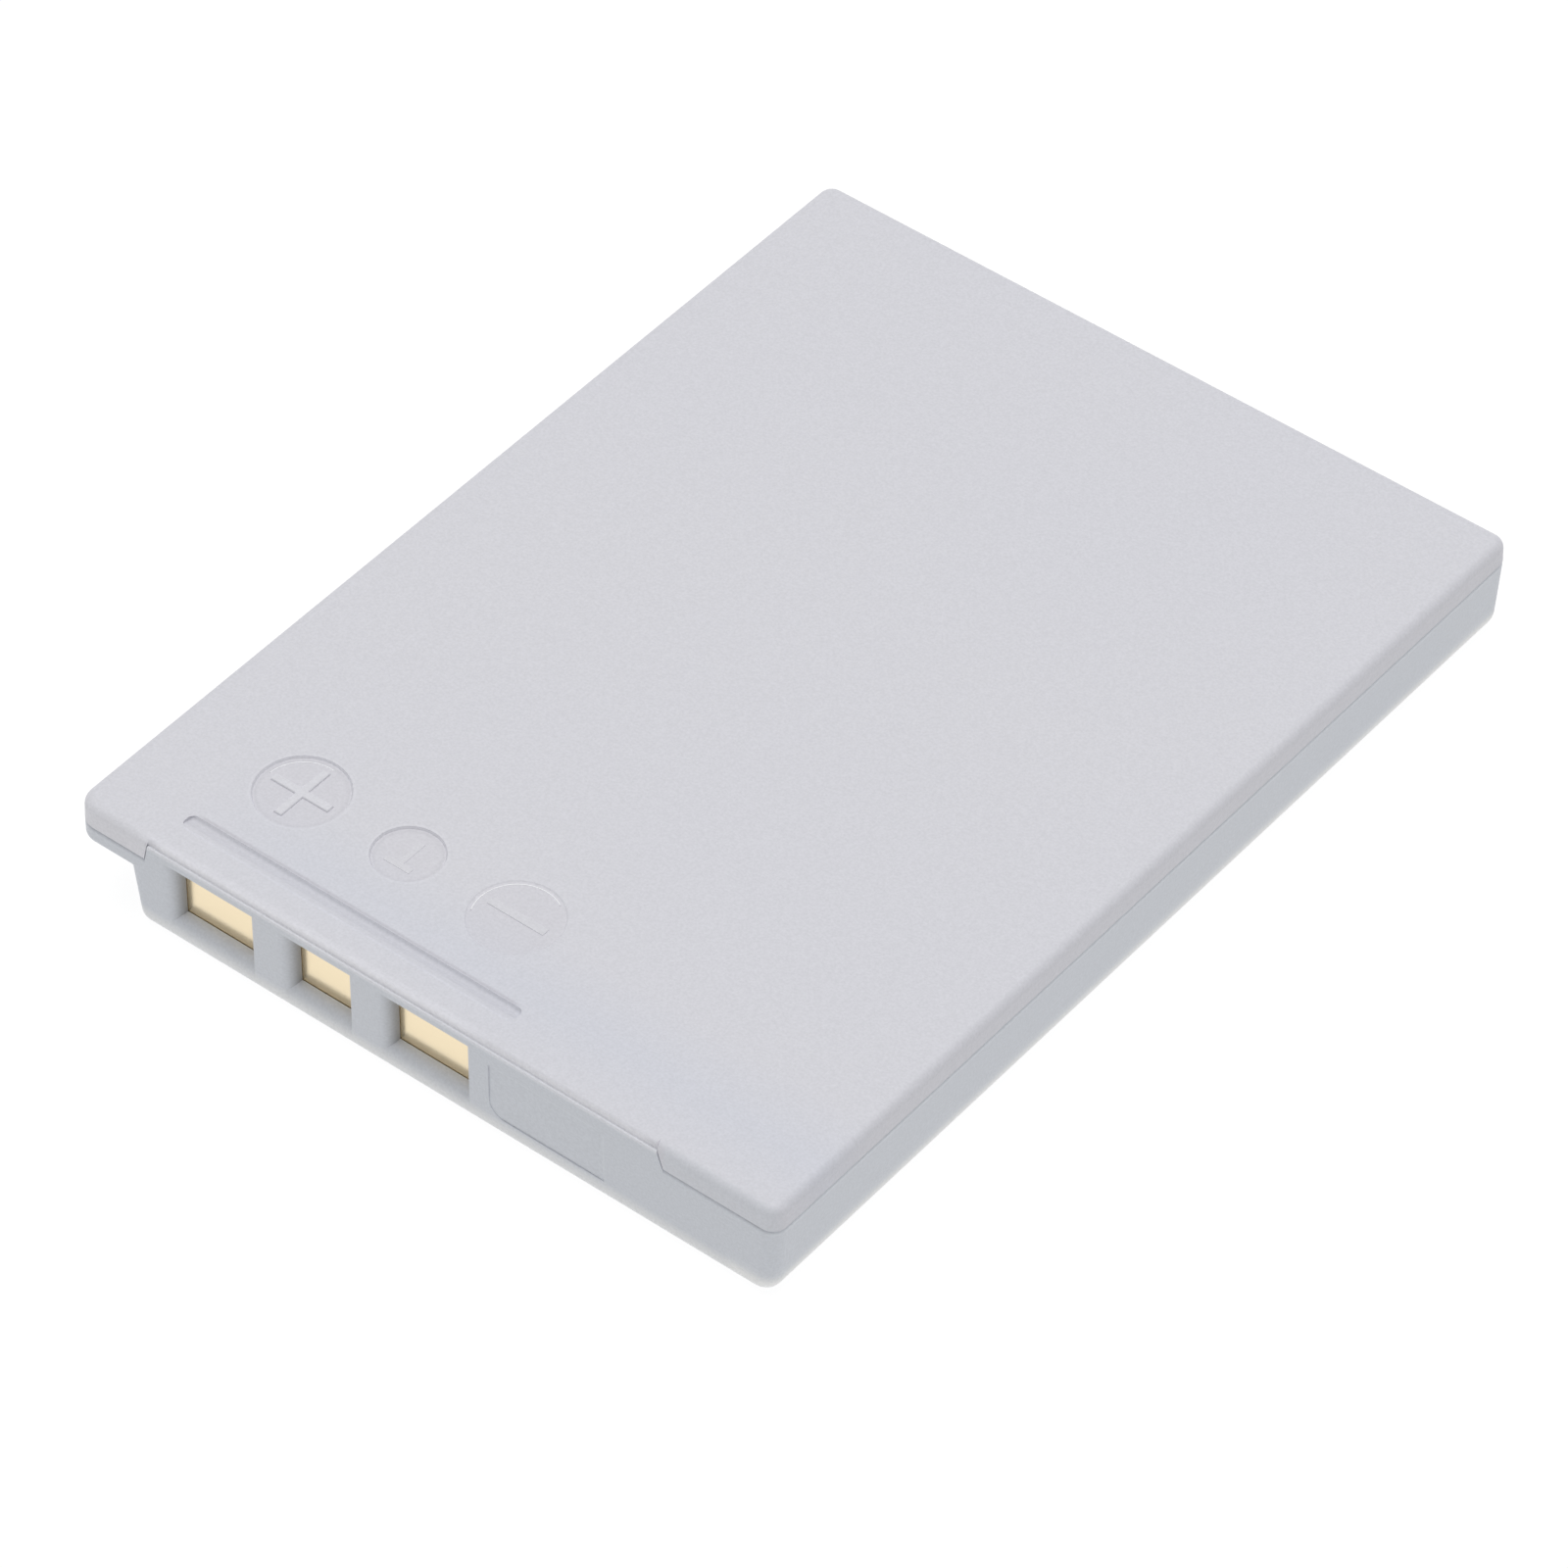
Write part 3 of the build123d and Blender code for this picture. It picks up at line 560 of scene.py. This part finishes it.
# The plus's plastic is the cover's, made lighter with painted light.
sign_grey = (0.7, 0.694, 0.728, 1.0)
sign_cool = (0.69, 0.688, 0.728, 1.0)
faint_sign_grey = (0.676, 0.669, 0.702, 1.0)
faint_sign_cool = (0.666, 0.663, 0.702, 1.0)
sign_plastic = moulded_plastic("sign_plastic", sign_grey, sign_cool)
faint_sign_plastic = moulded_plastic("faint_sign_plastic", faint_sign_grey, faint_sign_cool)
# Painted shade darkens the floors of the round recesses.
recess_painted_shade = (0.977, 0.97, 0.972, 1.0)
recess_depths = (cover_high.z - 0.00019, cover_high.z - 0.00001)
recess_row = about(thermistor_x, 0.0078)
recess_band = about(sign_row_y, 0.0022)
recess_fade = (0.0001, 0.0001, 0.00002)
recess_sharpness = 6.0
tint_zone(cover_plastic, recess_painted_shade, recess_fade, x=recess_row, y=recess_band, z=recess_depths,
          sharpness=recess_sharpness)


def moulded_on_cover(name, form, finish, centre, floor_depth):
    """Sets a form on the floor of its recess, as a piece that goes where the cover goes."""
    place = Matrix.Translation((centre[0], centre[1], cover_high.z - floor_depth))
    bmesh.ops.transform(form, matrix=place, verts=form.verts[:])
    mesh = bpy.data.meshes.new(name)
    form.to_mesh(mesh)
    form.free()
    mesh.materials.append(finish)
    piece = bpy.data.objects.new(name, mesh)
    bpy.context.scene.collection.objects.link(piece)
    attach(piece, "root")


def raised_sign(name, finish, centre, floor_depth, height, width, arms):
    """Strokes grown from a small square: each arm is an edge pushed out along one direction."""
    sign = bmesh.new()
    bmesh.ops.create_grid(sign, x_segments=1, y_segments=1, size=width / 2)
    for direction, length in arms:
        way = Vector(direction)
        reach = way * width / 2
        tip = min(sign.edges, key=lambda edge: ((edge.verts[0].co + edge.verts[1].co) / 2 - reach).length)
        grown = bmesh.ops.extrude_edge_only(sign, edges=[tip])["geom"]
        moved = [item for item in grown if isinstance(item, bmesh.types.BMVert)]
        bmesh.ops.translate(sign, verts=moved, vec=way * length)
    lifted = bmesh.ops.extrude_face_region(sign, geom=sign.faces[:])["geom"]
    top_verts = [item for item in lifted if isinstance(item, bmesh.types.BMVert)]
    bmesh.ops.translate(sign, verts=top_verts, vec=(0, 0, height))
    bmesh.ops.recalc_face_normals(sign, faces=sign.faces[:])
    sharp_angle = 1.0
    rims = [edge for edge in sign.edges
            if all(vert.co.z > height / 2 for vert in edge.verts) and edge.calc_face_angle(0) > sharp_angle]
    bmesh.ops.bevel(sign, geom=rims, offset=stroke_round * height, affect="EDGES",
                    segments=stroke_round_steps, profile=0.5, material=-1)
    moulded_on_cover(name, sign, finish, centre, floor_depth)


to_right, to_left, to_back, to_front = (1, 0, 0), (-1, 0, 0), (0, 1, 0), (0, -1, 0)
raised_sign("plus_sign", sign_plastic, (plus_x, sign_row_y), plus_depth, plus_height, stroke_width,
            [(way, plus_arm) for way in (to_right, to_left, to_back, to_front)])
raised_sign("minus_sign", faint_sign_plastic, (minus_x, sign_row_y + minus_back), minus_depth, minus_height,
            stroke_width, [(to_right, minus_arm), (to_left, minus_arm)])
raised_sign("thermistor_sign", faint_sign_plastic, (thermistor_x, sign_row_y - thermistor_front),
            thermistor_depth, thermistor_height, thermistor_stroke,
            [(to_right, thermistor_bar), (to_left, thermistor_bar), (to_back, thermistor_stem)])

# Recess rims: the edges of the round recesses, moulded with the cover. The plus and the T have fine
# rings of painted highlight and painted shade along their rims. A thin smooth bead gives the bright arc
# in the plus and the minus recess; its pale colour is a painted highlight, and its form is a guess.
plus_radius = 0.002
thermistor_radius = 0.001525
rim_painted_rings = (
    {"tint": (1.04, 1.04, 1.04, 1.0), "outside": 0.00007, "width": 0.00007},
    {"tint": (1.16, 1.16, 1.16, 1.0), "outside": -0.00003, "width": 0.00004},
    {"tint": (0.93, 0.93, 0.93, 1.0), "outside": -0.00017, "width": 0.00013},
)
ring_mask, ring_in, ring_out = new_group(
    "ring_mask", {"Centre": vector_socket, "Radius": number_socket, "Width": number_socket}, ("Mask",))
ring_place = ring_mask.nodes.new("ShaderNodeTexCoord")
ring_away = vector_step(ring_mask, "SUBTRACT", ring_place.outputs["Object"], ring_in.outputs["Centre"])
ring_away = vector_step(ring_mask, "MULTIPLY", ring_away, (1.0, 1.0, 0.0))
ring_reach = vector_step(ring_mask, "LENGTH", ring_away)
ring_gap = number_step(ring_mask, "SUBTRACT", ring_reach, ring_in.outputs["Radius"])
ring_gap = number_step(ring_mask, "ABSOLUTE", ring_gap)
ring_share = number_step(ring_mask, "DIVIDE", ring_gap, ring_in.outputs["Width"])
ring_amount = number_step(ring_mask, "SUBTRACT", 1.0, ring_share)
ring_amount = number_step(ring_mask, "MAXIMUM", ring_amount, 0.0)
ring_mask.links.new(ring_amount, ring_out.inputs["Mask"])

for recess_x, recess_radius in ((plus_x, plus_radius), (thermistor_x, thermistor_radius)):
    for rim in rim_painted_rings:
        ring = place_group(cover_plastic.node_tree, ring_mask, {
            "Centre": (recess_x, sign_row_y, 0),
            "Radius": recess_radius + rim["outside"],
            "Width": rim["width"],
        })
        tint_by_mask(cover_plastic, ring.outputs["Mask"], rim["tint"])

bead_highlight_colour = (0.93, 0.93, 0.95, 1.0)
bead_roughness = (0.2, 0.3)
bead_sides = 8
bead_steps = 48
bead_painted_highlight, bead_tree, bead_shader = new_finish("bead_painted_highlight", bead_highlight_colour, max(bead_roughness))
bead_grain = place_group(bead_tree, mould_grain, {"Grain Scale": grain_scale})
bead_polish = spread(bead_tree, bead_grain.outputs["Grain"], bead_roughness)
bead_tree.links.new(bead_polish, bead_shader.inputs["Roughness"])


def rim_bead(name, centre, floor_depth, ring_radius, bead_radius, start, end):
    """A thin half buried bead that runs round part of a recess, with closed ends."""
    bead = bmesh.new()
    section = bmesh.ops.create_circle(bead, segments=bead_sides, radius=bead_radius)
    upright = Matrix.Translation((ring_radius, 0, 0)) @ Matrix.Rotation(math.radians(90), 4, "X")
    bmesh.ops.transform(bead, matrix=upright, verts=section["verts"])
    turn = Matrix.Rotation(math.radians(start), 3, "Z")
    bmesh.ops.rotate(bead, verts=bead.verts[:], cent=(0, 0, 0), matrix=turn)
    bmesh.ops.spin(bead, geom=bead.verts[:] + bead.edges[:], cent=(0, 0, 0), axis=(0, 0, 1),
                   angle=math.radians(end - start), steps=bead_steps, use_duplicate=False)
    bmesh.ops.holes_fill(bead, edges=[edge for edge in bead.edges if edge.is_boundary], sides=bead_sides)
    bmesh.ops.recalc_face_normals(bead, faces=bead.faces[:])
    for face in bead.faces:
        face.smooth = len(face.verts) == 4
    moulded_on_cover(name, bead, bead_painted_highlight, centre, floor_depth)


rim_bead("plus_rim_bead", (plus_x, sign_row_y), plus_depth, ring_radius=0.00172, bead_radius=0.000022,
         start=84, end=178)
rim_bead("minus_rim_bead", (minus_x, sign_row_y), minus_depth, ring_radius=0.0018, bead_radius=0.000028,
         start=60, end=205)

# Studio: a white floor lit from below as on a light table, a broad soft lamp overhead and an even
# pale surround. The floor and the surround read as white to the camera and in the gold.
floor_white = (0.14, 0.14, 0.14, 1.0)
floor_half = 1.5
floor_gap = 0.00001
floor_light = 0.88
floor_lift = 0.03
surround_colour = (0.97, 0.985, 1.0, 1.0)
surround_level = 0.38
seen_white = (1.0, 1.0, 1.0, 1.0)
softbox_size = 0.6
softbox_power = 2.65
softbox_place = (-0.05, 0.06, 0.6)


def seen_rays(tree):
    """1 for what the camera and the gloss see, and 0 for light that falls on the object."""
    rays = tree.nodes.new("ShaderNodeLightPath")
    return number_step(tree, "MAXIMUM", rays.outputs["Is Camera Ray"], rays.outputs["Is Glossy Ray"])


floor_form = bmesh.new()
bmesh.ops.create_grid(floor_form, x_segments=1, y_segments=1, size=floor_half)
bmesh.ops.translate(floor_form, verts=floor_form.verts[:], vec=(0, 0, -floor_gap))
floor_mesh = bpy.data.meshes.new("floor")
floor_form.to_mesh(floor_mesh)
floor_form.free()
floor = bpy.data.objects.new("floor", floor_mesh)
bpy.context.scene.collection.objects.link(floor)

floor_paper, floor_tree, floor_shader = new_finish("floor_paper", floor_white, 1.0)
floor_shader.inputs["Specular IOR Level"].default_value = 0.0
floor_glow = floor_tree.nodes.new("ShaderNodeEmission")
floor_sum = floor_tree.nodes.new("ShaderNodeAddShader")
floor_level = number_step(floor_tree, "MULTIPLY_ADD", seen_rays(floor_tree), floor_lift, floor_light)
floor_output = floor_tree.nodes["Material Output"]
floor_tree.links.new(floor_level, floor_glow.inputs["Strength"])
floor_tree.links.new(floor_shader.outputs["BSDF"], floor_sum.inputs[0])
floor_tree.links.new(floor_glow.outputs["Emission"], floor_sum.inputs[1])
floor_tree.links.new(floor_sum.outputs["Shader"], floor_output.inputs["Surface"])
floor_mesh.materials.append(floor_paper)

surround = bpy.data.worlds.new("surround")
surround.use_nodes = True
bpy.context.scene.world = surround
surround_tree = surround.node_tree
surround_light = surround_tree.nodes["Background"]
surround_light.inputs["Color"].default_value = surround_colour
surround_light.inputs["Strength"].default_value = surround_level
surround_white = surround_tree.nodes.new("ShaderNodeBackground")
surround_white.inputs["Color"].default_value = seen_white
surround_white.inputs["Strength"].default_value = 1.0
surround_mix = surround_tree.nodes.new("ShaderNodeMixShader")
surround_output = surround_tree.nodes["World Output"]
surround_tree.links.new(seen_rays(surround_tree), surround_mix.inputs["Fac"])
surround_tree.links.new(surround_light.outputs["Background"], surround_mix.inputs[1])
surround_tree.links.new(surround_white.outputs["Background"], surround_mix.inputs[2])
surround_tree.links.new(surround_mix.outputs["Shader"], surround_output.inputs["Surface"])

softbox = bpy.data.lights.new("softbox", "AREA")
softbox.shape = "SQUARE"
softbox.size = softbox_size
softbox.energy = softbox_power
softbox_stand = bpy.data.objects.new("softbox", softbox)
softbox_stand.location = softbox_place
softbox_stand.rotation_euler = (-softbox_stand.location).to_track_quat("-Z", "Y").to_euler()
bpy.context.scene.collection.objects.link(softbox_stand)

# Camera: a long lens high over the near right corner, with the aim a little below and left of
# the pack's middle, as the photo is framed.
view_azimuth = math.radians(38.385)
view_elevation = math.radians(44.866)
view_roll = math.radians(0.379)
view_distance = 0.323492
aim_right = -0.000794
aim_up = -0.002985
frame_pixels = 1600
focal_pixels = 8302.65
sensor = 36.0
nearest_seen = 0.01
farthest_seen = 10.0

back = Vector((math.sin(view_azimuth) * math.cos(view_elevation),
               -math.cos(view_azimuth) * math.cos(view_elevation),
               math.sin(view_elevation)))
level_right = Vector((math.cos(view_azimuth), math.sin(view_azimuth), 0))
level_up = back.cross(level_right)
right = level_right * math.cos(view_roll) + level_up * math.sin(view_roll)
up = level_up * math.cos(view_roll) - level_right * math.sin(view_roll)
middle = Vector((0, 0, (cad_box[0].z + cad_box[1].z) / 2))
stand_point = middle + right * aim_right + up * aim_up + back * view_distance

lens = bpy.data.cameras.new("photo_camera")
lens.sensor_width = sensor
lens.lens = sensor * focal_pixels / frame_pixels
lens.clip_start = nearest_seen
lens.clip_end = farthest_seen
photo_camera = bpy.data.objects.new("photo_camera", lens)
photo_camera.matrix_world = Matrix.Translation(stand_point) @ Matrix((right, up, back)).transposed().to_4x4()
bpy.context.scene.collection.objects.link(photo_camera)
bpy.context.scene.camera = photo_camera
bpy.context.scene.view_settings.view_transform = "Standard"
